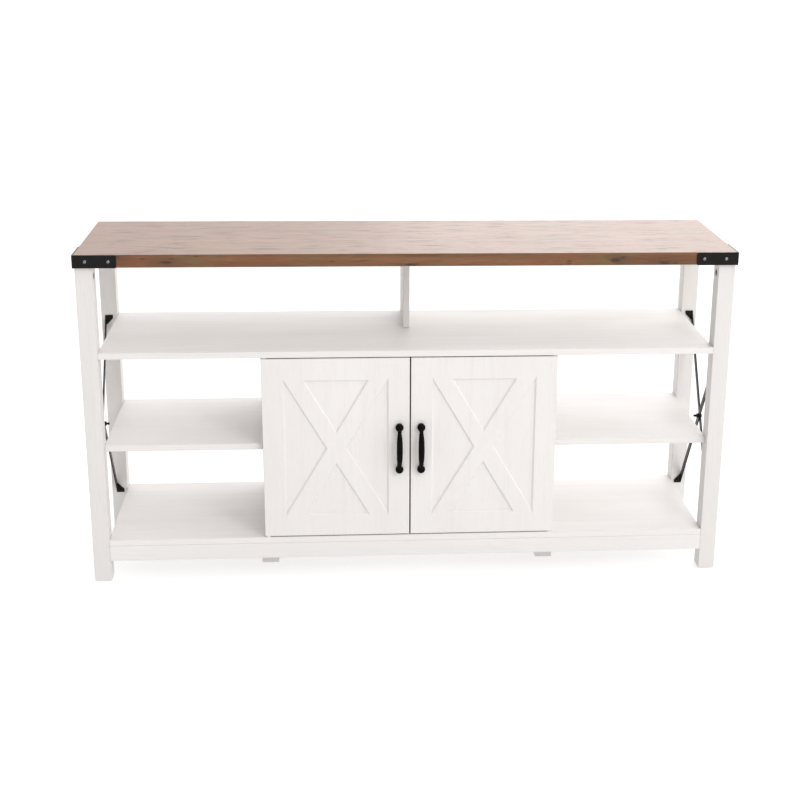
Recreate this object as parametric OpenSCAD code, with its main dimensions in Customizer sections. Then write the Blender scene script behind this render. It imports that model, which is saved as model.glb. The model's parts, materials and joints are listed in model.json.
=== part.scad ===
// Low media stand: plank top on four legs, open shelves at both ends and a
// two-door cabinet in the middle. Metal cross braces stiffen the two ends.
// Millimetres. X runs along the stand, the doors face -Y and the floor is Z = 0.

/* [Overall size] */
// Width of the table top
top_w = 1469; // [1300:1:1700]
// Depth of the table top, front to back
top_d = 378; // [350:1:450]
// Height of the table top's upper face above the floor
stand_h = 778; // [740:1:860]
// Thickness of the table top
top_t = 29; // [18:1:40]

/* [Legs] */
// Width of a leg, along the stand
leg_w = 38; // [34:1:50]
// Depth of a leg, front to back
leg_d = 42; // [36:1:50]
// How far the legs' outer faces stand in from the ends of the top
leg_side_inset = 1; // [0:1:20]
// How far the legs' front faces stand in from the front of the top
leg_front_inset = 8; // [3:1:20]
// How far the legs' back faces stand in from the back of the top
leg_back_inset = 2; // [0:1:20]
// Thickness of the plastic glides under the legs and feet
glide_t = 2; // [2:1:5]

/* [Shelves and panels] */
// Thickness of the shelves, panels and aprons
panel_t = 15; // [12:1:20]
// Clear height under the front apron
apron_clear = 52; // [40:1:80]
// Height of the front and rear aprons
apron_h = 37; // [25:1:60]
// Clear height of the cabinet, from the bottom panel to the long shelf
cabinet_h = 435; // [400:1:470]
// Clear height of the lower side bays, under the mid shelves
lower_bay_h = 211; // [170:1:240]
// How far the shelves' back edges stand in from the legs' back faces
shelf_back_inset = 6; // [0:1:12]
// Depth of the upright divider between the long shelf and the top
divider_d = 165; // [80:1:250]
// Thickness of the cabinet's back board
back_t = 3; // [3:1:6]
// Bevel along the edges of every board
edge = 0.8; // [0.3:0.1:1.5]

/* [Doors] */
// Distance from the middle of the stand to a cabinet side's outer face
cabinet_half_w = 338; // [300:1:380]
// Thickness of a door
door_t = 16; // [15:1:20]
// Gap between the two closed doors
meeting_gap = 3; // [2:0.5:5]
// Gap above and below a door
door_gap = 2.5; // [2:0.5:4]
// Gap between a door's back and the front edge of the cabinet side
door_back_gap = 3; // [2.5:0.5:5]
// Width of the plain border at a door's two sides
stile = 50; // [40:1:70]
// Width of the plain border at a door's top and bottom
rail = 53; // [40:1:70]
// Width of the crossed bars, measured level
bar_w = 45.5; // [30:0.5:60]
// Depth of the pockets cut around the crossed bars
pocket_depth = 3.5; // [2:0.5:5]
// Slope of the pockets' walls, from 0 for upright walls
pocket_slope = 45; // [0:5:60]

/* [Handles] */
// Distance between a handle's two screws
handle_span = 102; // [90:1:130]
// How far a handle stands out from its door
handle_reach = 30; // [27:1:40]
// Diameter of the ball at each end of a handle
ball_d = 19; // [16:1:22]
// Diameter of the bowed grip
grip_d = 12; // [9:1:14]
// Distance from a door's meeting edge to its handle
handle_inset = 23.5; // [18:0.5:30]

/* [Door pivots] */
// Diameter of the steel pivot pins
pin_d = 6; // [5:0.5:8]
// Distance from a door's outer edge to its pivot axis
pivot_inset = 7.5; // [7:0.5:9]
// Length of pin held inside the door
pin_in_door = 20; // [15:1:30]
// Outer diameter of the nylon bushes
bush_d = 10; // [9:1:12]

/* [Corner brackets] */
// Length of a bracket's arms
bracket_arm = 95; // [80:1:120]
// Thickness of the bracket plate
bracket_t = 2; // [1.5:0.5:3]
// Distance from the corner to the first screw
bracket_screw_1 = 28; // [20:1:40]
// Distance from the corner to the second screw
bracket_screw_2 = 78; // [60:1:90]

/* [Cross braces] */
// Thickness of the brace bars
brace_t = 2.5; // [2:0.5:4]
// Height of a bent tab, and of a bar's end where it meets the tab
tab_h = 27; // [20:1:32]
// Width of a bent tab, along the stand
tab_w = 18.5; // [14:0.5:21]
// Height of the lower tabs' bottom edges above the floor
brace_low = 97; // [80:1:130]
// Height of the upper tabs' top edges above the floor
brace_high = 557; // [500:1:620]
// Distance from the legs' outer faces to the outer brace bar
brace_inset = 9; // [6:1:12]

/* [Hidden] */

$fn = 48;

// Colours
white_board = [0.93, 0.92, 0.91];
oak = [0.62, 0.45, 0.32];
beech = [0.80, 0.66, 0.48];
black_metal = [0.08, 0.08, 0.085];
steel = [0.66, 0.67, 0.69];
nylon = [0.85, 0.85, 0.82];
dark_plastic = [0.16, 0.16, 0.17];
dark_zinc = [0.24, 0.24, 0.25];

// Depth positions. The middle of the whole depth, handles included, is Y = 0.
handle_over = handle_reach - leg_front_inset;
top_front = handle_over - (top_d + handle_over) / 2;
top_back = top_front + top_d;
face_y = top_front + leg_front_inset;
legs_back = top_back - leg_back_inset;
shelf_back = legs_back - shelf_back_inset;
front_leg_y = [face_y, face_y + leg_d];
back_leg_y = [legs_back - leg_d, legs_back];
door_back = face_y + door_t;
cabinet_front = door_back + door_back_gap;

// Width positions, as distances from the middle
leg_out = top_w / 2 - leg_side_inset;
leg_in = leg_out - leg_w;
side_in = cabinet_half_w - panel_t;

// Heights
leg_top = stand_h - top_t;
panel_bottom = apron_clear + apron_h;
panel_top = panel_bottom + panel_t;
shelf_bottom = panel_top + cabinet_h;
shelf_top = shelf_bottom + panel_t;
mid_bottom = panel_top + lower_bay_h;
mid_top = mid_bottom + panel_t;

// Doors
door_out = cabinet_half_w - 1;
door_in = meeting_gap / 2;
door_low = panel_top + door_gap;
door_high = shelf_bottom - door_gap;
door_mid = (door_low + door_high) / 2;
door_round = 3;
pivot_x = door_out - pivot_inset;
pivot_y = face_y + door_t / 2;
handle_x = door_in + handle_inset;
screw_shank = 4;

// Pivot hardware
pin_in_bush = 9;
bush_len = 11;
bush_flange_d = 14;
top_flange = 1.2;
low_flange = door_gap - 0.3;
pin_clear = 0.05;
fit_gap = 0.02;

// Hidden shelf in the cabinet and its pins
shelf_play = 1.5;
peg_d = 5;
peg_len = 16;
peg_pitch = 32;
peg_y = [cabinet_front + 40, shelf_back - 42];

// Magnetic catches
catch_w = 44;
catch_h = 15;
catch_d = 14;
catch_x = 14;
strike_w = 38;
strike_h = 11;
strike_t = 1.5;

// Feet under the cabinet
foot_w = 40;
foot_back_from_face = 86;
foot_x = cabinet_half_w - panel_t / 2;
foot_y = [
  face_y + foot_back_from_face,
  shelf_back - foot_back_from_face - foot_w
];
glide_d = 22;

// Cam fasteners
cam_d = 15;
cam_depth = 12;
cam_set_back = 34;
cam_drop = 24;
cam_bolt_d = 6;
cam_bolt_in = 12;
cam_clear = 0.2;

// Dowels
dowel_d = 8;
dowel_l = 30;
dowel_in_panel = 8;

// Braces
outer_bar_x = leg_out - brace_inset;
inner_bar_x = outer_bar_x - brace_t;
tab_tip = 8;
brace_mid_y = (front_leg_y[1] + back_leg_y[0]) / 2;
brace_mid_z = (brace_low + brace_high) / 2;
bolt_d = 6;
brace_screw_d = 4;

// ---------------------------------------------------------------- helpers

// Rectangle with its corners cut at 45 degrees
module cut_rect(w, h, c) {
  polygon([[c, 0], [w - c, 0], [w, c], [w, h - c], [w - c, h], [c, h], [0, h - c], [0, c]]);
}

// Board between two limits on each axis, with a small bevel on all its edges
module board(x, y, z, c = edge) {
  w = x[1] - x[0];
  d = y[1] - y[0];
  h = z[1] - z[0];
  translate([x[0], y[0], z[0]])
    intersection() {
      linear_extrude(h) cut_rect(w, d, c);
      translate([0, d, 0]) rotate([90, 0, 0]) linear_extrude(d) cut_rect(w, h, c);
      rotate([90, 0, 90]) linear_extrude(w) cut_rect(d, h, c);
    }
}

// Round bar or bore along +X, +Y or +Z from a start point
module rod_x(p, d, l) {
  translate(p) rotate([0, 90, 0]) cylinder(h = l, d = d);
}
module rod_y(p, d, l) {
  translate(p) rotate([-90, 0, 0]) cylinder(h = l, d = d);
}
module rod_z(p, d, l) {
  translate(p) cylinder(h = l, d = d);
}

// Screw along -Z: the head sits on Z = 0 and the shank goes down
module screw(d, l, head_d, head_h) {
  translate([0, 0, -l]) cylinder(h = l, d = d);
  cylinder(h = head_h * 0.5, d = head_d);
  translate([0, 0, head_h * 0.5]) cylinder(h = head_h * 0.5, d1 = head_d, d2 = head_d * 0.7);
}

// The same child on the left and, mirrored, on the right
module both_sides() {
  children();
  mirror([1, 0, 0]) children();
}

// ---------------------------------------------------------------- cam fasteners

// Places of the level cams on the left: [x of the joint, y, z of the bolt, direction of the leg]
leg_joints = [
  [-leg_in, (front_leg_y[0] + front_leg_y[1]) / 2, shelf_bottom + panel_t / 2, -1],
  [-leg_in, (back_leg_y[0] + shelf_back) / 2, shelf_bottom + panel_t / 2, -1],
  [-leg_in, (front_leg_y[0] + front_leg_y[1]) / 2, panel_bottom + panel_t / 2, -1],
  [-leg_in, (back_leg_y[0] + shelf_back) / 2, panel_bottom + panel_t / 2, -1],
  [-leg_in, (cabinet_front + front_leg_y[1]) / 2, mid_bottom + panel_t / 2, -1],
  [-leg_in, (back_leg_y[0] + shelf_back) / 2, mid_bottom + panel_t / 2, -1]
];
side_joints = [
  [-cabinet_half_w, cabinet_front + 40, mid_bottom + panel_t / 2, 1],
  [-cabinet_half_w, back_leg_y[0], mid_bottom + panel_t / 2, 1]
];

// Cam disc in the underside of a shelf, grown by g
module level_cam(j, g = 0) {
  rod_z([j[0] - j[3] * cam_set_back, j[1], j[2] - panel_t / 2 - g], cam_d + 2 * g, cam_depth + g);
}

// Bolt from the upright into the shelf's end, grown by g
module level_bolt(j, g = 0) {
  depth_in = j[3] < 0 ? cam_bolt_in : panel_t - 5;
  reach = cam_set_back - cam_d / 2 - cam_clear;
  start = j[3] < 0 ? j[0] - depth_in - g : j[0] - reach - g;
  rod_x([start, j[1], j[2]], cam_bolt_d + 2 * g, depth_in + reach + 2 * g);
}

// Cam disc in a leg's inner face, just under the top, grown by g
leg_cam_y = [for (y = [front_leg_y, back_leg_y]) (y[0] + y[1]) / 2];
module leg_cam(y, g = 0) {
  rod_x([-leg_in - cam_depth, y, leg_top - cam_drop], cam_d + 2 * g, cam_depth + g);
}

// Upright bolt from a leg's cam into the top, grown by g
module leg_bolt(y, g = 0) {
  low = leg_top - cam_drop + cam_d / 2 + cam_clear;
  rod_z([-leg_in - cam_depth / 2, y, low - g], cam_bolt_d + 2 * g,
    leg_top + cam_bolt_in - low + 2 * g);
}

// Every cam bore and bolt bore on both sides
module fastener_bores() {
  both_sides() {
    for (j = concat(leg_joints, side_joints)) {
      level_cam(j, cam_clear);
      level_bolt(j, cam_clear);
    }
    for (y = leg_cam_y) {
      leg_cam(y, cam_clear);
      leg_bolt(y, cam_clear);
    }
  }
}

module cam_locks() {
  color(dark_zinc)
    both_sides() {
      for (j = concat(leg_joints, side_joints)) level_cam(j);
      for (y = leg_cam_y) leg_cam(y);
    }
}

module cam_bolts() {
  color(steel)
    both_sides() {
      for (j = concat(leg_joints, side_joints)) level_bolt(j);
      for (y = leg_cam_y) leg_bolt(y);
    }
}

// ---------------------------------------------------------------- dowels

// Places of the upright dowels: [x, y, z of the joint, direction of the crossing panel]
side_dowel_y = [cabinet_front + 30, shelf_back - 40];
divider_dowel_y = [shelf_back - divider_d + 35, shelf_back - 35];
upright_dowels = concat(
  [for (x = [-foot_x, foot_x], y = side_dowel_y) [x, y, shelf_bottom, 1]],
  [for (x = [-foot_x, foot_x], y = side_dowel_y) [x, y, panel_top, -1]],
  [for (y = divider_dowel_y) [0, y, shelf_top, -1]],
  [for (y = divider_dowel_y) [0, y, leg_top, 1]],
  [for (x = [-foot_x, foot_x], y = foot_y) [x, y + foot_w / 2, panel_bottom, 1]]
);

// Every dowel, grown by g for its bore
module dowel_set(g = 0) {
  for (p = upright_dowels) {
    low = p[3] > 0 ? p[2] + dowel_in_panel - dowel_l : p[2] - dowel_in_panel;
    rod_z([p[0], p[1], low - g], dowel_d + 2 * g, dowel_l + 2 * g);
  }
  both_sides()
    for (y = [face_y, shelf_back - panel_t])
      rod_x([-leg_in - dowel_l / 2 - g, y + panel_t / 2, apron_clear + apron_h / 2],
        dowel_d + 2 * g, dowel_l + 2 * g);
}

module dowels() {
  color(beech) dowel_set();
}

// ---------------------------------------------------------------- top and brackets

// Places of the screws along each arm of a bracket
bracket_screw_at = [bracket_screw_1, bracket_screw_2];
bracket_screw_d = 3.5;
bracket_screw_l = 16;
bracket_screw_z = leg_top + top_t / 2;

// Puts its children, drawn along -Z, at each screw of the left bracket
module at_bracket_screws() {
  for (s = bracket_screw_at) {
    translate([-top_w / 2 - bracket_t + s, top_front - bracket_t, bracket_screw_z])
      rotate([90, 0, 0]) children();
    translate([-top_w / 2 - bracket_t, top_front - bracket_t + s, bracket_screw_z])
      rotate([0, -90, 0]) children();
  }
}

module top_panel() {
  color(oak)
    difference() {
      board([-top_w / 2, top_w / 2], [top_front, top_back], [leg_top, stand_h], edge * 1.5);
      both_sides() {
        for (y = leg_cam_y) leg_bolt(y, cam_clear);
        at_bracket_screws() translate([0, 0, -bracket_screw_l - 1])
          cylinder(h = bracket_screw_l + 2, d = bracket_screw_d + 2 * fit_gap);
      }
      dowel_set(fit_gap);
    }
}

// Flat arm with two rounded corners at its free end, standing on Z = 0 along +X
module bracket_arm_plate() {
  r = 4;
  rotate([90, 0, 0])
    translate([0, 0, -bracket_t])
      linear_extrude(bracket_t) {
        square([bracket_arm - r, top_t]);
        translate([0, r]) square([bracket_arm, top_t - 2 * r]);
        for (z = [r, top_t - r]) translate([bracket_arm - r, z]) circle(r);
      }
}

module left_corner_bracket() {
  color(black_metal)
    difference() {
      translate([-top_w / 2 - bracket_t, top_front - bracket_t, leg_top]) {
        bracket_arm_plate();
        mirror([1, -1, 0]) bracket_arm_plate();
      }
      at_bracket_screws() translate([0, 0, -bracket_t - 1])
        cylinder(h = bracket_t + 2, d = bracket_screw_d + 0.5);
    }
}

module right_corner_bracket() {
  mirror([1, 0, 0]) left_corner_bracket();
}

module bracket_screws() {
  color(steel)
    both_sides() at_bracket_screws() screw(bracket_screw_d, bracket_screw_l, 7.5, 2);
}

// ---------------------------------------------------------------- legs and feet

// Left leg between two depth limits, with all its bores
module left_leg(y) {
  color(white_board)
    difference() {
      board([-leg_out, -leg_in], y, [glide_t, leg_top]);
      fastener_bores();
      brace_screw_bores();
      dowel_set(fit_gap);
    }
}

module front_left_leg() left_leg(front_leg_y);
module back_left_leg() left_leg(back_leg_y);
module front_right_leg() mirror([1, 0, 0]) left_leg(front_leg_y);
module back_right_leg() mirror([1, 0, 0]) left_leg(back_leg_y);

// Square foot under the left cabinet side, with its front face at y
module left_foot(y) {
  color(white_board)
    difference() {
      board([-foot_x - foot_w / 2, -foot_x + foot_w / 2], [y, y + foot_w], [glide_t, panel_bottom]);
      dowel_set(fit_gap);
    }
}

module front_left_foot() left_foot(foot_y[0]);
module back_left_foot() left_foot(foot_y[1]);
module front_right_foot() mirror([1, 0, 0]) left_foot(foot_y[0]);
module back_right_foot() mirror([1, 0, 0]) left_foot(foot_y[1]);

module floor_glides() {
  leg_x = (leg_in + leg_out) / 2;
  color(dark_plastic)
    both_sides() {
      for (y = leg_cam_y) rod_z([-leg_x, y, 0], glide_d, glide_t);
      for (y = foot_y) rod_z([-foot_x, y + foot_w / 2, 0], glide_d, glide_t);
    }
}

// ---------------------------------------------------------------- shelves and panels

// Blind bores for the door bushes, above and below both doors
module bush_bores() {
  both_sides()
    for (z = [shelf_bottom, panel_top - bush_len])
      rod_z([-pivot_x, pivot_y, z - (z == shelf_bottom ? 1 : 0)], bush_d + 2 * fit_gap, bush_len + 1);
}

module long_shelf() {
  color(white_board)
    difference() {
      board([-leg_in, leg_in], [face_y, shelf_back], [shelf_bottom, shelf_top]);
      fastener_bores();
      bush_bores();
      dowel_set(fit_gap);
    }
}

module bottom_panel() {
  color(white_board)
    difference() {
      board([-leg_in, leg_in], [face_y, shelf_back], [panel_bottom, panel_top]);
      fastener_bores();
      bush_bores();
      dowel_set(fit_gap);
    }
}

module left_mid_shelf() {
  color(white_board)
    difference() {
      board([-leg_in, -cabinet_half_w], [cabinet_front, shelf_back], [mid_bottom, mid_top]);
      fastener_bores();
    }
}

module right_mid_shelf() mirror([1, 0, 0]) left_mid_shelf();

module apron(y) {
  color(white_board)
    difference() {
      board([-leg_in, leg_in], y, [apron_clear, panel_bottom]);
      dowel_set(fit_gap);
    }
}

module front_apron() apron([face_y, face_y + panel_t]);
module rear_apron() apron([shelf_back - panel_t, shelf_back]);

module centre_divider() {
  color(white_board)
    difference() {
      board([-panel_t / 2, panel_t / 2], [shelf_back - divider_d, shelf_back], [shelf_top, leg_top]);
      dowel_set(fit_gap);
    }
}

// ---------------------------------------------------------------- cabinet

// Bores for the shelf pins in the left cabinet side
module peg_bores() {
  for (y = peg_y, k = [-2:2])
    rod_x([-side_in - peg_len / 2, y, mid_bottom - peg_d / 2 + k * peg_pitch],
      peg_d + 2 * fit_gap, peg_len / 2 + 1);
}

module left_cabinet_side() {
  color(white_board)
    difference() {
      board([-cabinet_half_w, -side_in], [cabinet_front, shelf_back - back_t],
        [panel_top, shelf_bottom]);
      peg_bores();
      fastener_bores();
      dowel_set(fit_gap);
    }
}

module right_cabinet_side() mirror([1, 0, 0]) left_cabinet_side();

module cabinet_back() {
  color(white_board)
    board([-door_out, door_out], [shelf_back - back_t, shelf_back], [panel_top, shelf_bottom], 0.3);
}

module inner_shelf() {
  half = side_in - shelf_play;
  color(white_board)
    board([-half, half], [cabinet_front + 8, shelf_back - back_t - 2], [mid_bottom, mid_top]);
}

module shelf_pins() {
  color(steel)
    both_sides()
      for (y = peg_y)
        rod_x([-side_in - peg_len / 2, y, mid_bottom - peg_d / 2], peg_d, peg_len);
}

module left_catch() {
  low = shelf_bottom - catch_h;
  color(dark_plastic)
    board([-catch_x - catch_w, -catch_x],
      [door_back + strike_t + 0.3, door_back + strike_t + 0.3 + catch_d],
      [low, shelf_bottom]);
}

module right_catch() mirror([1, 0, 0]) left_catch();

module left_strike_plate() {
  mid = catch_x + catch_w / 2;
  low = shelf_bottom - catch_h + 0.5;
  color(steel)
    board([-mid - strike_w / 2, -mid + strike_w / 2], [door_back, door_back + strike_t],
      [low, low + strike_h], 0.3);
}

module right_strike_plate() mirror([1, 0, 0]) left_strike_plate();

// ---------------------------------------------------------------- doors

// Pocket in the left door's front face with sloping walls. The outline is the walls'
// middle line, and its points [x, z] run anticlockwise as seen from the front.
module pocket(points) {
  reach = 2 * cabinet_h;
  intersection() {
    translate([-door_out, face_y - 1, door_low]) cube([door_out, pocket_depth + 1, cabinet_h]);
    intersection_for (i = [0:len(points) - 1]) {
      from = points[i];
      along = points[(i + 1) % len(points)] - from;
      translate([from[0], face_y + pocket_depth / 2, from[1]])
        rotate([0, -atan2(along[1], along[0]), 0])
          rotate([pocket_slope, 0, 0])
            translate([-reach, -reach, 0]) cube([2 * reach, 2 * reach, reach]);
    }
  }
}

// Crossed-bar pattern: the four pockets between the bars and the border
module crossed_pockets() {
  x0 = -door_out + stile;
  x1 = -door_in - stile;
  z0 = door_low + rail;
  z1 = door_high - rail;
  mx = (x0 + x1) / 2;
  mz = (z0 + z1) / 2;
  slope = (z1 - z0) / (x1 - x0 - bar_w);
  side = (mz - z0) / slope;
  tip = (mx - x0 - bar_w) * slope;
  pocket([[x0, z0], [x0 + side, mz], [x0, z1]]);
  pocket([[x1, z0], [x1, z1], [x1 - side, mz]]);
  pocket([[x0 + bar_w, z1], [mx, z1 - tip], [x1 - bar_w, z1]]);
  pocket([[x0 + bar_w, z0], [x1 - bar_w, z0], [mx, z0 + tip]]);
}

// Places of the left handle's screws
handle_screw_z = [door_mid - handle_span / 2, door_mid + handle_span / 2];

module left_door() {
  color(white_board)
    difference() {
      board([-door_out, -door_in], [face_y, door_back], [door_low, door_high]);
      crossed_pockets();
      // rounded back corner that clears the cabinet side
      translate([-door_out, door_back, door_low - 1])
        difference() {
          translate([-1, -door_round, 0]) cube([door_round + 1, door_round + 1, cabinet_h + 2]);
          translate([door_round, -door_round, -1]) cylinder(h = cabinet_h + 4, r = door_round);
        }
      // pivot pin bores
      for (z = [door_low - 1, door_high - pin_in_door])
        rod_z([-pivot_x, pivot_y, z], pin_d + 2 * fit_gap, pin_in_door + 1);
      // handle screw bores
      for (z = handle_screw_z)
        rod_y([-handle_x, face_y - 1, z], screw_shank + 0.5, door_t + 2);
    }
}

module right_door() mirror([1, 0, 0]) left_door();

// Bow handle: two balls on short collars, joined by a round bar bent to an arc
module left_handle() {
  ball_y = face_y - ball_d / 2 + 1;
  rise = handle_reach - grip_d / 2 - (face_y - ball_y);
  half = handle_span / 2;
  bow_r = (half * half + rise * rise) / (2 * rise);
  half_angle = asin(half / bow_r);
  thread_depth = 9;
  color(black_metal)
    difference() {
      union() {
        for (z = handle_screw_z) {
          translate([-handle_x, ball_y, z]) sphere(d = ball_d);
          rod_y([-handle_x, face_y - 4, z], 13, 4);
        }
        translate([-handle_x, ball_y - rise + bow_r, door_mid])
          rotate([90, 0, -90])
            rotate([0, 0, -half_angle])
              rotate_extrude(angle = 2 * half_angle) translate([bow_r, 0]) circle(d = grip_d);
      }
      translate([-handle_x - ball_d, face_y, door_mid - half - ball_d])
        cube([2 * ball_d, ball_d, 2 * half + 2 * ball_d]);
      for (z = handle_screw_z)
        rod_y([-handle_x, face_y - thread_depth, z], screw_shank + 2 * fit_gap, thread_depth + 1);
    }
}

module right_handle() mirror([1, 0, 0]) left_handle();

module left_handle_screws() {
  color(steel)
    for (z = handle_screw_z)
      translate([-handle_x, door_back, z]) rotate([-90, 0, 0])
        screw(screw_shank, door_t + 8, 8, 2.4);
}

module right_handle_screws() mirror([1, 0, 0]) left_handle_screws();

module left_pivot_pins() {
  color(steel) {
    rod_z([-pivot_x, pivot_y, door_low - door_gap - pin_in_bush], pin_d,
      pin_in_bush + door_gap + pin_in_door - 1);
    rod_z([-pivot_x, pivot_y, door_high - pin_in_door + 1], pin_d,
      pin_in_bush + door_gap + pin_in_door - 1);
  }
}

module right_pivot_pins() mirror([1, 0, 0]) left_pivot_pins();

// Flanged bush standing on Z = 0, with its flange below
module bush(flange_t) {
  difference() {
    union() {
      cylinder(h = bush_len - 0.5, d = bush_d);
      translate([0, 0, -flange_t]) cylinder(h = flange_t, d = bush_flange_d);
    }
    translate([0, 0, -flange_t - 1]) cylinder(h = bush_len + flange_t + 2, d = pin_d + 2 * pin_clear);
  }
}

module pivot_bushes() {
  color(nylon)
    both_sides() {
      translate([-pivot_x, pivot_y, shelf_bottom]) bush(top_flange);
      translate([-pivot_x, pivot_y, panel_top]) mirror([0, 0, 1]) bush(low_flange);
    }
}

// ---------------------------------------------------------------- cross braces

// Flat bar on the left side that rises from the front leg to the back leg. Its
// ends are bent into tabs that lie on the legs; x is the bar's outer face.
module rising_bar(x) {
  y0 = front_leg_y[1];
  y1 = back_leg_y[0];
  z0 = brace_low;
  z1 = brace_high;
  difference() {
    union() {
      translate([x, 0, 0]) rotate([90, 0, 90]) linear_extrude(brace_t)
        polygon([[y0, z0], [y0, z0 + tab_h], [y1, z1], [y1, z1 - tab_h]]);
      // lower tab on the front leg
      translate([x, y0 + brace_t, 0]) rotate([90, 0, 0]) linear_extrude(brace_t)
        polygon([[0, z0], [tab_w, z0], [tab_w, z0 + tab_tip], [0, z0 + tab_h]]);
      // upper tab on the back leg
      translate([x, y1, 0]) rotate([90, 0, 0]) linear_extrude(brace_t)
        polygon([[0, z1], [tab_w, z1], [tab_w, z1 - tab_tip], [0, z1 - tab_h]]);
    }
    rod_x([x - 1, brace_mid_y, brace_mid_z], bolt_d + 0.4, brace_t + 2);
    for (s = [0, 1]) tab_bore(x, s, s, brace_screw_d + 0.4);
  }
}

// Bore through a tab: back is 1 on the back leg, high is 1 at the top
module tab_bore(x, back, high, d, depth = 6) {
  z = high == 1 ? brace_high - tab_tip : brace_low + tab_tip;
  y = back == 1 ? back_leg_y[0] - depth / 2 : front_leg_y[1] - depth / 2;
  rod_y([x + tab_w * 0.5, y, z], d, depth);
}

// The same bar turned front to back, so that it falls towards the back leg
module falling_bar(x) {
  translate([0, 2 * brace_mid_y, 0]) mirror([0, 1, 0]) rising_bar(x);
}

// Puts its children, drawn along +Y into the leg, at the left tabs' screws
module at_brace_screws() {
  for (back = [0, 1], high = [0, 1]) {
    x = back == high ? -outer_bar_x : -inner_bar_x;
    z = high == 1 ? brace_high - tab_tip : brace_low + tab_tip;
    y = back == 1 ? back_leg_y[0] - brace_t : front_leg_y[1] + brace_t;
    translate([x + tab_w * 0.5, y, z]) rotate([back == 1 ? 90 : -90, 0, 0]) children();
  }
}

module brace_screw_bores() {
  at_brace_screws() translate([0, 0, -17]) cylinder(h = 18, d = brace_screw_d + 2 * fit_gap);
}

module left_outer_brace() color(black_metal) rising_bar(-outer_bar_x);
module left_inner_brace() color(black_metal) falling_bar(-inner_bar_x);
module right_outer_brace() mirror([1, 0, 0]) left_outer_brace();
module right_inner_brace() mirror([1, 0, 0]) left_inner_brace();

module brace_bolts() {
  shank = 2 * brace_t + 12;
  color(black_metal)
    both_sides()
      translate([-outer_bar_x, brace_mid_y, brace_mid_z]) rotate([0, -90, 0])
        screw(bolt_d, shank, 12, 3.5);
}

module brace_nuts() {
  nut_t = 5;
  color(black_metal)
    both_sides()
      translate([-inner_bar_x + brace_t, brace_mid_y, brace_mid_z]) rotate([0, 90, 0])
        difference() {
          cylinder(h = nut_t, d = 11.5, $fn = 6);
          translate([0, 0, -1]) cylinder(h = nut_t + 2, d = bolt_d + 2 * fit_gap);
        }
}

module brace_screws() {
  color(black_metal)
    both_sides() at_brace_screws() screw(brace_screw_d, 16, 7.5, 2.2);
}

// ---------------------------------------------------------------- assembly

top_panel();
front_left_leg();
front_right_leg();
back_left_leg();
back_right_leg();
long_shelf();
left_mid_shelf();
right_mid_shelf();
bottom_panel();
front_apron();
rear_apron();
centre_divider();
left_cabinet_side();
right_cabinet_side();
cabinet_back();
inner_shelf();
shelf_pins();
front_left_foot();
front_right_foot();
back_left_foot();
back_right_foot();
floor_glides();
left_door();
right_door();
left_handle();
right_handle();
left_handle_screws();
right_handle_screws();
left_pivot_pins();
right_pivot_pins();
pivot_bushes();
left_catch();
right_catch();
left_strike_plate();
right_strike_plate();
left_corner_bracket();
right_corner_bracket();
bracket_screws();
left_outer_brace();
left_inner_brace();
right_outer_brace();
right_inner_brace();
brace_bolts();
brace_nuts();
brace_screws();
cam_locks();
cam_bolts();
dowels();
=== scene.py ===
"""The looks of a low media stand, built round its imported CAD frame.

Oak-look top, off-white boards with a faint embossed grain, black powder-coated
metalwork, a pale floor and soft studio light. Lengths are metres in the frame's axes:
+X along the stand, -Y towards the doors' side, +Z up.
"""
import json
import math

import bmesh
import bpy
from mathutils import Matrix, Vector


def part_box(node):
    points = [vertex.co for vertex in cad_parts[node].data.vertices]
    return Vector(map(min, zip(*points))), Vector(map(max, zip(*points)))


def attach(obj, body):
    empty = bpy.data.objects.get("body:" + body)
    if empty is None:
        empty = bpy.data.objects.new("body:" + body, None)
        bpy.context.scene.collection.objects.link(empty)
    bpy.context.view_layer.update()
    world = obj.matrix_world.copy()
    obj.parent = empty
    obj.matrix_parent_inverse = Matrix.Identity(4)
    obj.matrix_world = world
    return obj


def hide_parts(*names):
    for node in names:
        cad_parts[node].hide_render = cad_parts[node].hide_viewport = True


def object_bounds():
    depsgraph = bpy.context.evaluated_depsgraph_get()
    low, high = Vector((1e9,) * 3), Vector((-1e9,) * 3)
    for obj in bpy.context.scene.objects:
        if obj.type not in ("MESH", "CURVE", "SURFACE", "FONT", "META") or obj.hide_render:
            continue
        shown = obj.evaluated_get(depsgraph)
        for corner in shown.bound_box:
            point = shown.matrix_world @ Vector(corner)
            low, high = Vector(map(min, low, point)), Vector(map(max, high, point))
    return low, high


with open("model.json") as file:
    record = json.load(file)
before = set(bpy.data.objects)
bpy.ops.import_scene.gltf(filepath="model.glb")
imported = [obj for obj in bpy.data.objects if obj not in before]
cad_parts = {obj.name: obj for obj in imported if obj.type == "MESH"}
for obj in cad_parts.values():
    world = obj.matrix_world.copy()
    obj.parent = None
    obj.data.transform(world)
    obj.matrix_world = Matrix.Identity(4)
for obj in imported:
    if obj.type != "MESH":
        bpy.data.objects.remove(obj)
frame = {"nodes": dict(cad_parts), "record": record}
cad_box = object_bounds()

MM = 0.001
TAU = 2 * math.pi
GRAIN_AXES = "XYZ"

# ------------------------------------------------------------------ shader helpers


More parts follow.
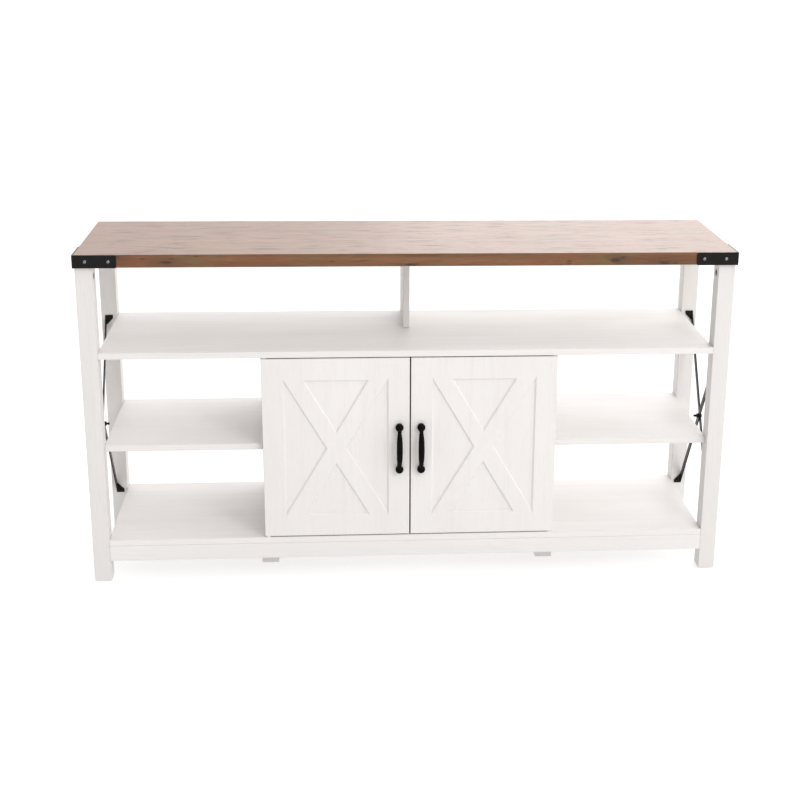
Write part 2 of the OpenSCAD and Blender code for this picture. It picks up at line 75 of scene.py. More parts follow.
class Shader:
    """A Principled material, with short calls that add and join its texture nodes."""

    def __init__(self, name):
        self.material = bpy.data.materials.new(name)
        self.material.use_nodes = True
        self.tree = self.material.node_tree
        self.tree.nodes.clear()
        self.surface = self.node("ShaderNodeBsdfPrincipled")
        output = self.node("ShaderNodeOutputMaterial")
        self.join(self.surface.outputs[0], output.inputs["Surface"])
        self.place = self.node("ShaderNodeTexCoord").outputs["Object"]

    def node(self, kind, **settings):
        made = self.tree.nodes.new(kind)
        for key, value in settings.items():
            setattr(made, key, value)
        return made

    def join(self, source, target):
        self.tree.links.new(source, target)

    def feed(self, socket, value):
        """Links value to a socket if it comes from a node, and sets it otherwise."""
        if isinstance(value, bpy.types.NodeSocket):
            self.join(value, socket)
        else:
            socket.default_value = value

    def constant(self, **values):
        """Sets numbers on the surface's own sockets."""
        for name, value in values.items():
            self.surface.inputs[name.replace("_", " ")].default_value = value

    def stretch(self, scale, source=None):
        mapping = self.node("ShaderNodeMapping")
        self.feed(mapping.inputs["Vector"], source or self.place)
        mapping.inputs["Scale"].default_value = scale
        return mapping.outputs["Vector"]

    def noise(self, scale, detail=3.0, roughness=0.5, source=None):
        """Noise whose features are 1/scale long on each axis."""
        made = self.node("ShaderNodeTexNoise")
        made.inputs["Scale"].default_value = 1.0
        made.inputs["Detail"].default_value = detail
        made.inputs["Roughness"].default_value = roughness
        self.join(self.stretch(scale, source), made.inputs["Vector"])
        return made.outputs["Fac"]

    def math(self, operation, a, b=0.0, c=0.0):
        made = self.node("ShaderNodeMath", operation=operation)
        for socket, value in zip(made.inputs, (a, b, c)):
            self.feed(socket, value)
        return made.outputs[0]

    def span(self, value, low, high, to_low=0.0, to_high=1.0):
        """Maps low..high smoothly to to_low..to_high, and holds it outside."""
        made = self.node("ShaderNodeMapRange", interpolation_type="SMOOTHSTEP")
        for socket, number in zip(made.inputs, (value, low, high, to_low, to_high)):
            self.feed(socket, number)
        return made.outputs[0]

    def ramp(self, value, stops):
        made = self.node("ShaderNodeValToRGB")
        points = made.color_ramp.elements
        while len(points) < len(stops):
            points.new(0.5)
        for point, (at, colour) in zip(points, stops):
            point.position = at
            point.color = (*colour, 1.0)
        self.join(value, made.inputs[0])
        return made.outputs[0]

    def mix(self, factor, a, b, blend="MIX"):
        made = self.node("ShaderNodeMix", data_type="RGBA", blend_type=blend)
        ends = [s for s in made.inputs if s.type == "RGBA"]
        self.feed(made.inputs[0], factor)
        for socket, value in zip(ends, (a, b)):
            self.feed(socket, value if isinstance(value, bpy.types.NodeSocket) else (*value, 1.0))
        return next(s for s in made.outputs if s.type == "RGBA")

    def edges(self, radius, low=0.80, high=0.995):
        """(rounded normal, mask that is 1 along the edges within radius)."""
        bevel = self.node("ShaderNodeBevel", samples=4)
        bevel.inputs["Radius"].default_value = radius
        geometry = self.node("ShaderNodeNewGeometry")
        dot = self.node("ShaderNodeVectorMath", operation="DOT_PRODUCT")
        self.join(bevel.outputs[0], dot.inputs[0])
        self.join(geometry.outputs["True Normal"], dot.inputs[1])
        return bevel.outputs[0], self.span(dot.outputs["Value"], low, high, 1.0, 0.0)

    def faces_down(self):
        """1 on faces that look straight down, and 0 elsewhere."""
        parts = self.node("ShaderNodeSeparateXYZ")
        self.join(self.node("ShaderNodeNewGeometry").outputs["True Normal"], parts.inputs[0])
        return self.math("LESS_THAN", parts.outputs["Z"], -0.5)

    def unfolded(self):
        """Flat coordinates of a foil laid over a panel, with its grain along X on the
        top and long edges and along Y on the ends: (along, across, 0)."""
        at = self.node("ShaderNodeSeparateXYZ")
        self.join(self.place, at.inputs[0])
        facing = self.node("ShaderNodeSeparateXYZ")
        self.join(self.node("ShaderNodeNewGeometry").outputs["True Normal"], facing.inputs[0])
        on_end = self.math("GREATER_THAN", self.math("ABSOLUTE", facing.outputs["X"]), 0.5)
        on_side = self.math("SUBTRACT", 1.0, on_end)
        across = self.math("MULTIPLY_ADD", at.outputs["Y"], on_side, at.outputs["Z"])
        lengthwise = self.math("MULTIPLY", at.outputs["X"], on_side)
        made = self.node("ShaderNodeCombineXYZ")
        self.join(self.math("MULTIPLY_ADD", at.outputs["Y"], on_end, lengthwise), made.inputs["X"])
        self.join(across, made.inputs["Y"])
        return made.outputs[0]

    def knots(self, source, scale, share):
        """(dark core, soft halo) in a share of cells 1/scale in size, longer along the grain."""
        cells = self.node("ShaderNodeTexVoronoi", feature="F1", voronoi_dimensions="2D")
        cells.inputs["Scale"].default_value = 1.0
        cells.inputs["Randomness"].default_value = 0.9
        self.join(self.stretch((*scale, 1.0), source), cells.inputs["Vector"])
        pick = self.node("ShaderNodeSeparateColor")
        self.join(cells.outputs["Color"], pick.inputs[0])
        chosen = self.math("LESS_THAN", pick.outputs[0], share)
        outline = self.math("SUBTRACT", self.noise((60, 220, 1), 3, 0.6, source), 0.5)
        ragged = self.math("MULTIPLY", outline, 0.22)
        away = self.math("ADD", cells.outputs["Distance"], ragged)
        core = self.math("MULTIPLY", chosen, self.span(away, 0.05, 0.17, 1.0, 0.0))
        halo = self.math("MULTIPLY", chosen, self.span(away, 0.12, 0.58, 1.0, 0.0))
        return core, halo

    def bump(self, height, depth, normal=None):
        made = self.node("ShaderNodeBump")
        made.inputs["Strength"].default_value = 1.0
        made.inputs["Distance"].default_value = depth
        self.join(height, made.inputs["Height"])
        if normal is not None:
            self.join(normal, made.inputs["Normal"])
        return made.outputs[0]

    def finish(self, colour, roughness, normal):
        self.feed(self.surface.inputs["Base Color"], colour)
        self.feed(self.surface.inputs["Roughness"], roughness)
        if normal is not None:
            self.join(normal, self.surface.inputs["Normal"])
        return self.material


def along(axis, lengthwise, across):
    """A texture scale that is lengthwise on the grain's axis and across on the others."""
    return tuple(lengthwise if name == axis else across for name in GRAIN_AXES)


# ------------------------------------------------------------------ materials


def white_board(name, axis, shade=1.0):
    """Off-white foil with a faint embossed oak grain along axis. A shade below 1 darkens the whole colour,
    as painted shade.
    """
    s = Shader(name)
    tone = s.noise(along(axis, 1.6, 9), 3, 0.55)
    figure = s.noise(along(axis, 3.2, 70), 5, 0.6)
    pores = s.span(s.noise(along(axis, 24, 620), 2, 0.5), 0.56, 0.68)
    normal, edge = s.edges(1.0 * MM)
    colour = s.ramp(tone, [(0.25, (0.668, 0.648, 0.634)), (0.75, (0.712, 0.694, 0.682))])
    colour = s.mix(s.span(figure, 0.50, 0.72, 0.0, 0.42), colour, (0.648, 0.624, 0.606))
    colour = s.mix(s.math("MULTIPLY", pores, 0.17), colour, (0.55, 0.52, 0.50))
    broken = s.math("MULTIPLY", edge, s.span(s.noise((130,) * 3, 2), 0.35, 0.65, 0.10, 0.50))
    colour = s.mix(broken, colour, (0.60, 0.575, 0.555))
    # multiplies the colour by shade: painted shade when shade is below 1
    colour = s.mix(1.0, colour, (shade,) * 3, "MULTIPLY")
    roughness = s.span(figure, 0.3, 0.7, 0.50, 0.60)
    relief = s.math("ADD", s.math("MULTIPLY", pores, -0.7), s.math("MULTIPLY", figure, 0.8))
    s.constant(IOR=1.45, Specular_IOR_Level=0.4)
    return s.finish(colour, roughness, s.bump(relief, 0.10 * MM, normal))


def oak_top():
    """Rustic oak foil with streaks, fibres, knots and olive patches, folded over the
    edges, and a pale backing foil underneath."""
    s = Shader("oak_top")
    wood = s.unfolded()

    # the grain sways a little along its length
    sway = s.math("MULTIPLY", s.math("SUBTRACT", s.noise((5, 16, 1), 3, 0.6, wood), 0.5), 0.022)
    shift = s.node("ShaderNodeCombineXYZ")
    s.join(sway, shift.inputs["Y"])
    drift = s.node("ShaderNodeVectorMath", operation="ADD")
    s.join(wood, drift.inputs[0])
    s.join(shift.outputs[0], drift.inputs[1])
    wood = drift.outputs[0]

    bands = s.noise((1.6, 42, 1), 6, 0.66, wood)
    zones = s.noise((7.5, 22, 1), 3, 0.55, wood)
    streaks = s.span(s.noise((11, 190, 1), 4, 0.62, wood), 0.54, 0.70)
    fibres = s.noise((26, 900, 1), 3, 0.6, wood)
    core, halo = s.knots(wood, (9.0, 30.0), 0.28)
    small, _ = s.knots(wood, (17.0, 90.0), 0.17)

    colour = s.ramp(
        bands,
        [
            (0.30, (0.090, 0.035, 0.013)),
            (0.44, (0.152, 0.061, 0.023)),
            (0.56, (0.186, 0.079, 0.031)),
            (0.72, (0.238, 0.112, 0.050)),
        ],
    )
    colour = s.mix(s.span(zones, 0.50, 0.64, 0.0, 0.75), colour, (0.150, 0.088, 0.034))
    colour = s.mix(s.span(zones, 0.46, 0.34, 0.0, 0.60), colour, (0.190, 0.066, 0.029))
    colour = s.mix(s.math("MULTIPLY", streaks, 0.60), colour, (0.062, 0.026, 0.010))
    colour = s.mix(s.math("MULTIPLY", halo, 0.48), colour, (0.085, 0.034, 0.012))
    colour = s.mix(s.math("MULTIPLY", s.math("MAXIMUM", core, small), 0.85), colour, (0.030, 0.013, 0.007))
    colour = s.mix(s.span(fibres, 0.35, 0.65, 0.0, 0.35), colour, (0.075, 0.032, 0.013))
    normal, edge = s.edges(1.4 * MM)
    worn = s.math("MULTIPLY", edge, s.span(s.noise((90,) * 3, 3), 0.35, 0.65, 0.15, 0.60))
    colour = s.mix(worn, colour, (0.110, 0.047, 0.020))
    backing = s.ramp(bands, [(0.3, (0.42, 0.40, 0.37)), (0.7, (0.50, 0.48, 0.45))])
    colour = s.mix(s.faces_down(), colour, backing)
    roughness = s.span(s.math("ADD", fibres, streaks), 0.3, 1.3, 0.36, 0.52)
    relief = s.math("SUBTRACT", s.math("MULTIPLY", fibres, 0.8), s.math("ADD", streaks, core))
    s.constant(IOR=1.5, Specular_IOR_Level=0.38)
    return s.finish(colour, roughness, s.bump(relief, 0.12 * MM, normal))


def raw_beech():
    s = Shader("beech")
    figure = s.noise((90, 90, 26), 4, 0.6)
    flecks = s.span(s.noise((900, 900, 160), 2), 0.55, 0.68)
    colour = s.ramp(figure, [(0.3, (0.56, 0.38, 0.21)), (0.7, (0.72, 0.54, 0.34))])
    colour = s.mix(s.math("MULTIPLY", flecks, 0.5), colour, (0.40, 0.24, 0.12))
    return s.finish(colour, s.span(figure, 0.3, 0.7, 0.55, 0.7), s.bump(flecks, 0.05 * MM))


def coated_metal(name, dark, light, rubbed, rough, specular=0.14, depth=0.05):
    """Powder coat or cast metal: fine orange peel, and edges rubbed a little brighter."""
    s = Shader(name)
    peel = s.noise((1500,) * 3, 2)
    clouds = s.noise((28,) * 3, 4, 0.6)
    normal, edge = s.edges(0.8 * MM)
    colour = s.ramp(clouds, [(0.3, dark), (0.7, light)])
    rub = s.math("MULTIPLY", edge, s.span(s.noise((210,) * 3, 3), 0.42, 0.66, 0.0, 0.7))
    colour = s.mix(rub, colour, rubbed)
    roughness = s.math("ADD", s.span(clouds, 0.3, 0.7, *rough), s.math("MULTIPLY", rub, -0.08))
    s.constant(Specular_IOR_Level=specular)
    return s.finish(colour, roughness, s.bump(peel, depth * MM, normal))


def plated_metal(name, colour, rough, brushed=(900, 900, 60)):
    """Plated steel with fine brush lines and faint tarnish."""
    s = Shader(name)
    lines = s.noise(brushed, 3, 0.6)
    tarnish = s.noise((160,) * 3, 4, 0.6)
    shade = s.ramp(tarnish, [(0.3, tuple(0.80 * c for c in colour)), (0.65, colour)])
    s.constant(Metallic=1.0)
    return s.finish(shade, s.span(lines, 0.3, 0.7, *rough), s.bump(lines, 0.01 * MM))


def moulded(name, dark, light, rough):
    """Moulded plastic with a fine spark-eroded texture."""
    s = Shader(name)
    texture = s.noise((1300,) * 3, 2)
    flow = s.noise((60, 60, 20), 3)
    normal, _ = s.edges(0.5 * MM)
    colour = s.ramp(flow, [(0.3, dark), (0.7, light)])
    return s.finish(colour, s.span(flow, 0.3, 0.7, *rough), s.bump(texture, 0.03 * MM, normal))


BOARD = {axis: white_board("white_board_" + axis.lower(), axis) for axis in GRAIN_AXES}
# the front legs get a copy of the white board 7% darker: painted shade that makes them read darker than
# the doors
FRONT_LEG_PAINTED_SHADE = white_board("white_board_front_legs_painted_shade", "Z", 0.93)
FINISH = {
    "oak_top": oak_top(),
    "beech": raw_beech(),
    "black_metal": coated_metal(
        "black_metal", (0.0045, 0.0042, 0.0042), (0.0080, 0.0075, 0.0074), (0.040, 0.037, 0.035),
        (0.26, 0.38),
    ),
    "handle_enamel": coated_metal(
        "handle_enamel", (0.0018, 0.0017, 0.0017), (0.0034, 0.0032, 0.0031), (0.030, 0.028, 0.026),
        (0.06, 0.12), specular=0.05, depth=0.02,
    ),
    "dark_zinc": coated_metal(
        "dark_zinc", (0.030, 0.030, 0.032), (0.055, 0.055, 0.058), (0.20, 0.20, 0.21), (0.40, 0.52)
    ),
    "bright_screw": plated_metal("bright_screw", (0.26, 0.26, 0.27), (0.16, 0.28)),
    "steel": plated_metal("steel", (0.60, 0.61, 0.63), (0.26, 0.40)),
    "nylon": moulded("nylon", (0.66, 0.65, 0.60), (0.74, 0.73, 0.69), (0.40, 0.50)),
    "dark_plastic": moulded("dark_plastic", (0.022, 0.022, 0.024), (0.034, 0.034, 0.036), (0.45, 0.58)),
}


def paint(piece, material):
    piece.data.materials.clear()
    piece.data.materials.append(material)


FRONT_LEGS = ("front_left_leg", "front_right_leg")


def paint_cad_nodes():
    """Gives each CAD node its slot's material. A board's grain runs along its longest side. The front legs
    get the darker copy of the white board, which is painted shade.
    """
    for row in frame["record"]["subparts"]:
        node, slot = row["node"], row["material_slot"]
        if node in FRONT_LEGS:
            material = FRONT_LEG_PAINTED_SHADE
        elif slot == "white_board":
            low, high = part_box(node)
            size = high - low
            material = BOARD[GRAIN_AXES[max(range(3), key=lambda k: size[k])]]
        else:
            material = FINISH[slot]
        paint(frame["nodes"][node], material)


# ------------------------------------------------------------------ mesh helpers


def solids(node):
    """The corner points of each separate solid of a CAD node."""
    mesh = bmesh.new()
    mesh.from_mesh(frame["nodes"][node].data)
    bmesh.ops.remove_doubles(mesh, verts=mesh.verts, dist=0.002 * MM)
    left, groups = set(mesh.verts), []
    while left:
        reached = [left.pop()]
        group = []
        while reached:
            vert = reached.pop()
            group.append(vert.co.copy())
            for edge in vert.link_edges:
                other = edge.other_vert(vert)
                if other in left:
                    left.discard(other)
                    reached.append(other)
        groups.append(group)
    mesh.free()
    return sorted(groups, key=lambda g: tuple(round(sum(p[k] for p in g) / len(g), 5) for k in range(3)))


def seat(points, axis_is_longest=True):
    """Matrix of a turned part made on +Z from z = 0 at its inner end, and its length.

    The axis is the solid's longest side, or the side unlike the other two. +Z points
    to the wider end, which is a screw's head."""
    low = Vector([min(p[k] for p in points) for k in range(3)])
    high = Vector([max(p[k] for p in points) for k in range(3)])
    size = high - low
    if axis_is_longest:
        axis = max(range(3), key=lambda k: size[k])
    else:
        axis = max(range(3), key=lambda k: min(abs(size[k] - size[j]) for j in range(3) if j != k))
    centre = (low + high) / 2

    across = [k for k in range(3) if k != axis]

    def width(end):
        near = [p for p in points if abs(p[axis] - end) < size[axis] * 0.25]
        return max(math.hypot(*(p[k] - centre[k] for k in across)) for p in near)

    outward = 1 if width(high[axis]) >= width(low[axis]) else -1
    up = Vector([outward if k == axis else 0 for k in range(3)])
    start = centre - up * size[axis] / 2
    return Matrix.Translation(start) @ up.to_track_quat("Z", "Y").to_matrix().to_4x4(), size[axis]


def ring(radius, sides):
    """Evenly spaced points on a circle, anticlockwise."""
    turn = [TAU * k / sides for k in range(sides)]
    return [(radius * math.cos(a), radius * math.sin(a)) for a in turn]


def lathe(profile, sides=40):
    """Closed turned mesh from (radius, height) points, with its axis on +Z."""
    mesh = bmesh.new()
    rings = []
    for radius, height in profile:
        if radius < 1e-7:
            rings.append([mesh.verts.new((0, 0, height))])
        else:
            rings.append([mesh.verts.new((x, y, height)) for x, y in ring(radius, sides)])
    for low, high in zip(rings, rings[1:]):
        for k in range(sides):
            below = [low[k % len(low)], low[(k + 1) % len(low)]]
            above = [high[(k + 1) % len(high)], high[k % len(high)]]
            mesh.faces.new(list(dict.fromkeys(below + above)))
    if len(rings[0]) > 1:
        mesh.faces.new(rings[0][::-1])
    if len(rings[-1]) > 1:
        mesh.faces.new(rings[-1])
    return mesh


def prism(outline, low, high):
    """Closed upright prism on an anticlockwise outline."""
    mesh = bmesh.new()
    under = [mesh.verts.new((x, y, low)) for x, y in outline]
    over = [mesh.verts.new((x, y, high)) for x, y in outline]
    mesh.faces.new(under[::-1])
    mesh.faces.new(over)
    for k in range(len(outline)):
        nxt = (k + 1) % len(outline)
        mesh.faces.new([under[k], under[nxt], over[nxt], over[k]])
    return mesh


def as_object(mesh, name):
    """A new object that owns a copy of a bmesh, which is freed."""
    bmesh.ops.recalc_face_normals(mesh, faces=mesh.faces)
    data = bpy.data.meshes.new(name)
    mesh.to_mesh(data)
    mesh.free()
    made = bpy.data.objects.new(name, data)
    bpy.context.scene.collection.objects.link(made)
    return made


def discard(piece):
    data = piece.data
    bpy.data.objects.remove(piece)
    bpy.data.meshes.remove(data)


def combine(base, others, operation):
    """Joins or cuts base with the other objects, and removes them."""
    for other in others:
        step = base.modifiers.new("combine", "BOOLEAN")
        step.operation = operation
        step.solver = "EXACT"
        step.object = other
    bpy.context.view_layer.update()
    solved = bpy.data.meshes.new_from_object(base.evaluated_get(bpy.context.evaluated_depsgraph_get()))
    base.modifiers.clear()
    old, base.data = base.data, solved
    bpy.data.meshes.remove(old)
    for other in others:
        discard(other)
    return base


def smooth(piece, angle=35):
    """Smooth shading, with creases left at edges sharper than angle."""
    for face in piece.data.polygons:
        face.use_smooth = True
    piece.data.set_sharp_from_angle(angle=math.radians(angle))


def repeat(pattern, matrices, name):
    """One object that holds pattern's mesh at every matrix."""
    mesh = bmesh.new()
    for matrix in matrices:
        part = pattern.data.copy()
        part.transform(matrix)
        mesh.from_mesh(part)
        bpy.data.meshes.remove(part)
    discard(pattern)
    made = as_object(mesh, name)
    smooth(made)
    return made


def install(piece, body, node, slot, finish=None):
    """Puts a finished piece on its body, in place of a CAD node."""
    paint(piece, FINISH[finish or slot])
    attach(piece, body)
    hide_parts(node)


# ------------------------------------------------------------------ screws, bolts and cams


def cross_recess(size, depth, top):
    """Cutter for a cross-shaped driver recess, narrowing downwards from height top."""
    arm = size * 0.17
    half = size / 2
    taper = 0.55
    outline = [
        (half, -arm), (half, arm), (arm, arm), (arm, half), (-arm, half), (-arm, arm),
        (-half, arm), (-half, -arm), (-arm, -arm), (-arm, -half), (arm, -half), (arm, -arm),
    ]
    cutter = prism(outline, top - depth, top + depth)
    for vert in cutter.verts:
        if vert.co.z < top:
            vert.co.x *= taper
            vert.co.y *= taper
    return as_object(cutter, "recess")


def hex_recess(across, depth, top):
    return as_object(prism(ring(across / math.sqrt(3), 6), top - depth, top + depth), "recess")


def screw_pattern(length, shank, head, head_height, tip, drive):
    """Screw on +Z: ridged shank from a tip at z = 0, and a domed head that ends at length."""
    under = length - head_height
    profile = [(0, 0), (tip / 2, 0)]
    pitch = 1.2 * MM
    first = 0.6 * MM
    root, crest = shank * 0.42, shank * 0.50
    turns = int((under - 1.5 * MM) / pitch)
    for k in range(turns):
        at = first + k * pitch
        profile += [(root, at), (crest, at + pitch * 0.45)]
    profile += [(root, first + turns * pitch), (root, under)]
    rim = 0.18
    profile += [(head / 2 * 0.97, under), (head / 2, under + head_height * rim)]
    dome = 7
    for k in range(1, dome):
        angle = math.pi / 2 * k / dome
        rise = rim + (1 - rim) * math.sin(angle)
        profile.append((head / 2 * math.cos(angle), under + head_height * rise))
    profile.append((0, length))
    return combine(as_object(lathe(profile), "screw"), [drive(length)], "DIFFERENCE")


def install_screws(name, node, body, slot, shank, head, head_height, tip, drive):
    places = [seat(points) for points in solids(node)]
    pattern = screw_pattern(places[0][1], shank, head, head_height, tip, drive)
    install(repeat(pattern, [matrix for matrix, _ in places], name), body, node, slot)


def install_cams():
    """Cam discs with a rim, a dished face and a cross slot."""
    places = [seat(points, axis_is_longest=False) for points in solids("cam_locks")]
    depth = places[0][1]
    radius = 7.5 * MM
    lip = 0.5 * MM
    dish = depth - 0.5 * MM
    profile = [
        (0, 0), (radius - lip, 0), (radius, lip), (radius, depth - lip), (radius - lip, depth),
        (radius - 1.3 * MM, depth), (radius - 1.6 * MM, dish), (0, dish),
    ]
    faces_out = [turned_outward(matrix, depth) for matrix, _ in places]
    pattern = as_object(lathe(profile), "cam")
    combine(pattern, [cross_recess(7.5 * MM, 3 * MM, depth)], "DIFFERENCE")
    install(repeat(pattern, faces_out, "cam_discs"), "stand", "cam_locks", "dark_zinc")


def turned_outward(matrix, depth):
    """Turns a cam so that its slotted face is the one that shows: under a shelf, or
    towards the middle of the stand on a leg."""
    up = matrix.to_3x3() @ Vector((0, 0, 1))
    at = matrix.translation
    hidden = up.z > 0.5 or (abs(up.x) > 0.5 and up.x * at.x > 0)
    flip = Matrix.Translation((0, 0, depth)) @ Matrix.Rotation(math.pi, 4, "X")
    return matrix @ flip if hidden else matrix


def install_nuts():
    """Hexagonal nuts with chamfered corners on both faces."""
    places = []
    for points in solids("brace_nuts"):
        low = Vector([min(p[k] for p in points) for k in range(3)])
        high = Vector([max(p[k] for p in points) for k in range(3)])
        inward = -1 if low.x > 0 else 1
        start = Vector((high.x if inward < 0 else low.x, (low.y + high.y) / 2, (low.z + high.z) / 2))
        turn = Vector((inward, 0, 0)).to_track_quat("Z", "Y").to_matrix().to_4x4()
        places.append((Matrix.Translation(start) @ turn, high.x - low.x))
    thick = places[0][1]
    corner, flat, chamfer, bore = 5.75 * MM, 5.0 * MM, 0.7 * MM, 3.02 * MM
    nut = as_object(prism(ring(corner, 6), 0, thick), "nut")
    barrel = [(0, 0), (flat, 0), (corner, chamfer), (corner, thick - chamfer), (flat, thick), (0, thick)]
    combine(nut, [as_object(lathe(barrel), "barrel")], "INTERSECT")
    combine(nut, [as_object(prism(ring(bore, 40), -thick, 2 * thick), "bore")], "DIFFERENCE")
    nuts = repeat(nut, [matrix for matrix, _ in places], "brace_hex_nuts")
    install(nuts, "stand", "brace_nuts", "black_metal")


# ------------------------------------------------------------------ door handles


def sweep(path, radii, sides=32):
    """Closed round bar along a path in the YZ plane, with a radius at each point."""
    mesh = bmesh.new()
    rings = []
    for k, (point, radius) in enumerate(zip(path, radii)):
        before, after = path[max(k - 1, 0)], path[min(k + 1, len(path) - 1)]
        forward = (after - before).normalized()
        side = Vector((1, 0, 0))
        out = forward.cross(side)
        rings.append([mesh.verts.new(point + x * side + y * out) for x, y in ring(radius, sides)])
    for low, high in zip(rings, rings[1:]):
        for j in range(sides):
            nxt = (j + 1) % sides
            mesh.faces.new([low[j], low[nxt], high[nxt], high[j]])
    mesh.faces.new(rings[0][::-1])
    mesh.faces.new(rings[-1])
    return mesh


def handle_radius(away):
    """Radius of the bow at a distance from the nearer screw: neck, bead, then a grip
    that swells towards the middle."""
    steps = [
        (0.0, 5.2), (9.5, 4.8), (12.0, 4.5), (13.3, 4.6), (14.2, 5.5), (15.2, 6.0), (16.2, 5.6),
        (17.0, 5.0), (17.8, 5.3), (19.5, 5.9), (24.0, 6.3), (34.0, 6.9), (51.0, 7.2),
    ]
    mm = away / MM
    for (a, ra), (b, rb) in zip(steps, steps[1:]):
        if mm <= b:
            share = (mm - a) / (b - a)
            share = share * share * (3 - 2 * share)
            return (ra + (rb - ra) * share) * MM
    return steps[-1][1] * MM


def install_handle(side):
    """Bow pull: a round mushroom foot at each screw, joined by a turned, swelling bow."""
    low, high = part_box(side + "_handle")
    x = (low.x + high.x) / 2
    middle = (low.z + high.z) / 2
    door_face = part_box(side + "_door")[0].y
    foot_radius = (high.x - low.x) / 2
    half = (high.z - low.z) / 2 - foot_radius
    crown = (door_face - low.y) - handle_radius(half)
    start = 8.0 * MM
    rise = crown - start
    bow_radius = (half * half + rise * rise) / (2 * rise)
    reach = math.asin(half / bow_radius)
    steps = 120
    path, radii = [], []
    for k in range(steps + 1):
        angle = -reach + 2 * reach * k / steps
        z = bow_radius * math.sin(angle)
        out = crown - bow_radius * (1 - math.cos(angle))
        path.append(Vector((x, door_face - out, middle + z)))
        radii.append(handle_radius(half - abs(z)))
    bow = as_object(sweep(path, radii), side + "_handle_pull")
    foot = [
        (0, 0), (7.6, 0), (8.3, 0.5), (8.3, 1.6), (7.4, 2.3), (7.2, 2.9), (8.2, 3.7), (9.05, 5.0),
        (9.4, 6.6), (9.5, 8.2), (9.35, 10.0), (8.9, 11.8), (8.0, 13.6), (6.6, 15.1), (4.6, 16.3),
        (2.3, 16.9), (0, 17.1),
    ]
    outward = Matrix.Rotation(math.pi / 2, 4, "X")
    feet = []
    for z in (middle - half, middle + half):
        mesh = lathe([(r * MM, h * MM) for r, h in foot], 48)
        mesh.transform(Matrix.Translation((x, door_face, z)) @ outward)
        feet.append(as_object(mesh, "foot"))
    combine(bow, feet, "UNION")
    smooth(bow, 50)
    install(bow, side + "_door", side + "_handle", "black_metal", "handle_enamel")


# ------------------------------------------------------------------ stage, light and camera


def add_floor():
    """Pale floor that glows a little, as a lit studio floor does."""
    low, high = cad_box
    centre = (low + high) / 2
    mesh = bmesh.new()
    bmesh.ops.create_grid(mesh, x_segments=8, y_segments=8, size=FLOOR_HALF)
    floor = as_object(mesh, "floor")
    floor.location = (centre.x, centre.y, low.z)
    s = Shader("pale_floor")
    soft = s.noise((1.3,) * 3, 3)
    s.constant(Emission_Color=(1.0, 0.995, 0.985, 1.0), Emission_Strength=FLOOR_GLOW)
    s.constant(Specular_IOR_Level=0.15)
    colour = s.ramp(soft, [(0.3, (0.36, 0.358, 0.354)), (0.7, (0.38, 0.378, 0.374))])
    paint(floor, s.finish(colour, 0.8, None))


def add_sky():
    """White surroundings, brightest behind the stand and towards its right."""
    world = bpy.data.worlds.new("studio")
    bpy.context.scene.world = world
    world.use_nodes = True
    tree = world.node_tree
    tree.nodes.clear()
    output = tree.nodes.new("ShaderNodeOutputWorld")
    light = tree.nodes.new("ShaderNodeBackground")
    tree.links.new(light.outputs[0], output.inputs["Surface"])
    light.inputs["Color"].default_value = SKY_TINT
    where = tree.nodes.new("ShaderNodeTexCoord")
    parts = tree.nodes.new("ShaderNodeSeparateXYZ")
    tree.links.new(where.outputs["Generated"], parts.inputs[0])

    def fade(axis, start, full, low, high):
        """Goes smoothly from low to high as a direction's axis component grows."""
        made = tree.nodes.new("ShaderNodeMapRange")
        made.interpolation_type = "SMOOTHSTEP"
        tree.links.new(parts.outputs[axis], made.inputs[0])
        for socket, value in zip(made.inputs[1:5], (start, full, low, high)):
            socket.default_value = value
        return made.outputs[0]

    def joined(operation, a, b):
        made = tree.nodes.new("ShaderNodeMath")
        made.operation = operation
        tree.links.new(a, made.inputs[0])
        tree.links.new(b, made.inputs[1])
        return made.outputs[0]

    sideways = fade("X", -0.5, 0.35, BACK_LEFT_SHARE, 1.0)
    back = joined("MULTIPLY", fade("Y", 0.0, 0.9, 0.0, BACK_GLOW), sideways)
    rest = joined("ADD", fade("X", -0.9, 0.9, LEFT_GLOW, RIGHT_GLOW), fade("Z", 0.3, 1.0, 0.0, TOP_GLOW))
    tree.links.new(joined("ADD", back, rest), light.inputs["Strength"])


def add_softbox(name, place, target, size, power, diffuse=True):
    """A square light. With diffuse off it shows only as sheen on glossy faces."""
    data = bpy.data.lights.new(name, "AREA")
    data.shape = "SQUARE"
    data.size = size
    data.energy = power
    data.color = (1.0, 0.985, 0.97)
    box = bpy.data.objects.new(name, data)
    bpy.context.scene.collection.objects.link(box)
    box.location = place
    box.rotation_euler = (Vector(target) - Vector(place)).to_track_quat("-Z", "Y").to_euler()
    box.visible_camera = False
    box.visible_diffuse = diffuse


def add_camera():
    """Camera a little left of the middle, above the top and turned to the right."""
    data = bpy.data.cameras.new("camera")
    data.sensor_width = 36.0
    data.lens = CAMERA_LENS
    data.shift_x = CAMERA_SHIFT
    camera = bpy.data.objects.new("camera", data)
    bpy.context.scene.collection.objects.link(camera)
    pan, tilt, roll = (math.radians(a) for a in (CAMERA_PAN, CAMERA_TILT, CAMERA_ROLL))
    forward = Vector((math.sin(pan) * math.cos(tilt), math.cos(pan) * math.cos(tilt), -math.sin(tilt)))
    level = Vector((math.cos(pan), -math.sin(pan), 0))
    right = math.cos(roll) * level + math.sin(roll) * level.cross(forward)
    up = right.cross(forward)
    turn = Matrix((right, up, -forward)).transposed().to_4x4()
    camera.matrix_world = Matrix.Translation(Vector(CAMERA_AT)) @ turn
    bpy.context.scene.camera = camera


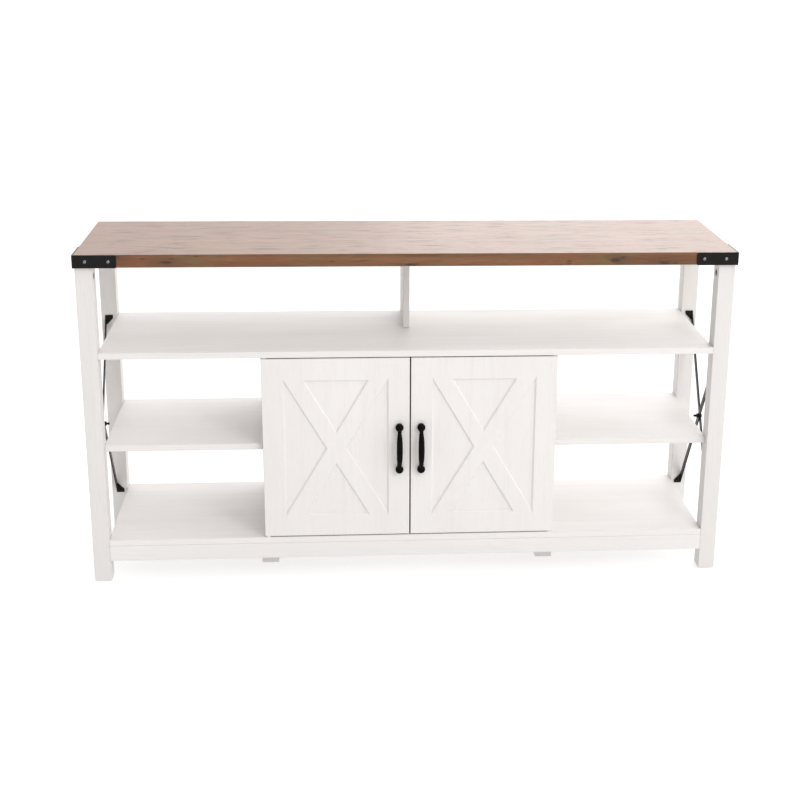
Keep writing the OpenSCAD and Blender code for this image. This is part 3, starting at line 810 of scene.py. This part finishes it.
# camera: place in metres, angles in degrees
CAMERA_AT = (-0.1695, -3.3601, 1.4747)
CAMERA_PAN = 4.875
CAMERA_TILT = 17.99
CAMERA_ROLL = 0.789
CAMERA_LENS = 66.25
CAMERA_SHIFT = -0.069

# strengths of the surroundings: all round at the far left and right, then what is
# added overhead and behind
SKY_TINT = (1.0, 0.985, 0.978, 1.0)
LEFT_GLOW = 0.48
RIGHT_GLOW = 1.5
TOP_GLOW = 0.35
BACK_GLOW = 1.3
BACK_LEFT_SHARE = 0.85

FLOOR_GLOW = 0.66
FLOOR_HALF = 14.0

# the key light in front, and the panel behind the stand that gives the top its sheen
KEY_AT = (2.0, -3.45, 2.9)
KEY_AIM = (0.0, -0.15, 0.40)
KEY_SIZE = 1.3
KEY_POWER = 48.5
PANEL_AT = (2.3, 4.5, 2.6)
PANEL_AIM = (0.0, 0.0, 0.80)
PANEL_SIZE = 5.0
PANEL_POWER = 85.0

# ------------------------------------------------------------------ build

paint_cad_nodes()
install_screws(
    "bracket_pan_screws", "bracket_screws", "stand", "bright_screw",
    3.5 * MM, 7.5 * MM, 2.0 * MM, 0.6 * MM, lambda top: cross_recess(4.2 * MM, 1.4 * MM, top),
)
install_screws(
    "brace_pan_screws", "brace_screws", "stand", "black_metal",
    4.0 * MM, 7.5 * MM, 2.2 * MM, 0.6 * MM, lambda top: cross_recess(4.2 * MM, 1.4 * MM, top),
)
install_screws(
    "brace_button_bolts", "brace_bolts", "stand", "black_metal",
    6.0 * MM, 12.0 * MM, 3.5 * MM, 5.7 * MM, lambda top: hex_recess(4.0 * MM, 2.2 * MM, top),
)
for side in ("left", "right"):
    install_screws(
        side + "_handle_pan_screws", side + "_handle_screws", side + "_door", "steel",
        4.0 * MM, 8.0 * MM, 2.4 * MM, 3.2 * MM, lambda top: cross_recess(4.6 * MM, 1.5 * MM, top),
    )
    install_handle(side)
install_nuts()
install_cams()

add_floor()
add_sky()
add_softbox("key_softbox", KEY_AT, KEY_AIM, KEY_SIZE, KEY_POWER)
add_softbox("sheen_panel", PANEL_AT, PANEL_AIM, PANEL_SIZE, PANEL_POWER, diffuse=False)
add_camera()
bpy.context.scene.view_settings.view_transform = "Standard"
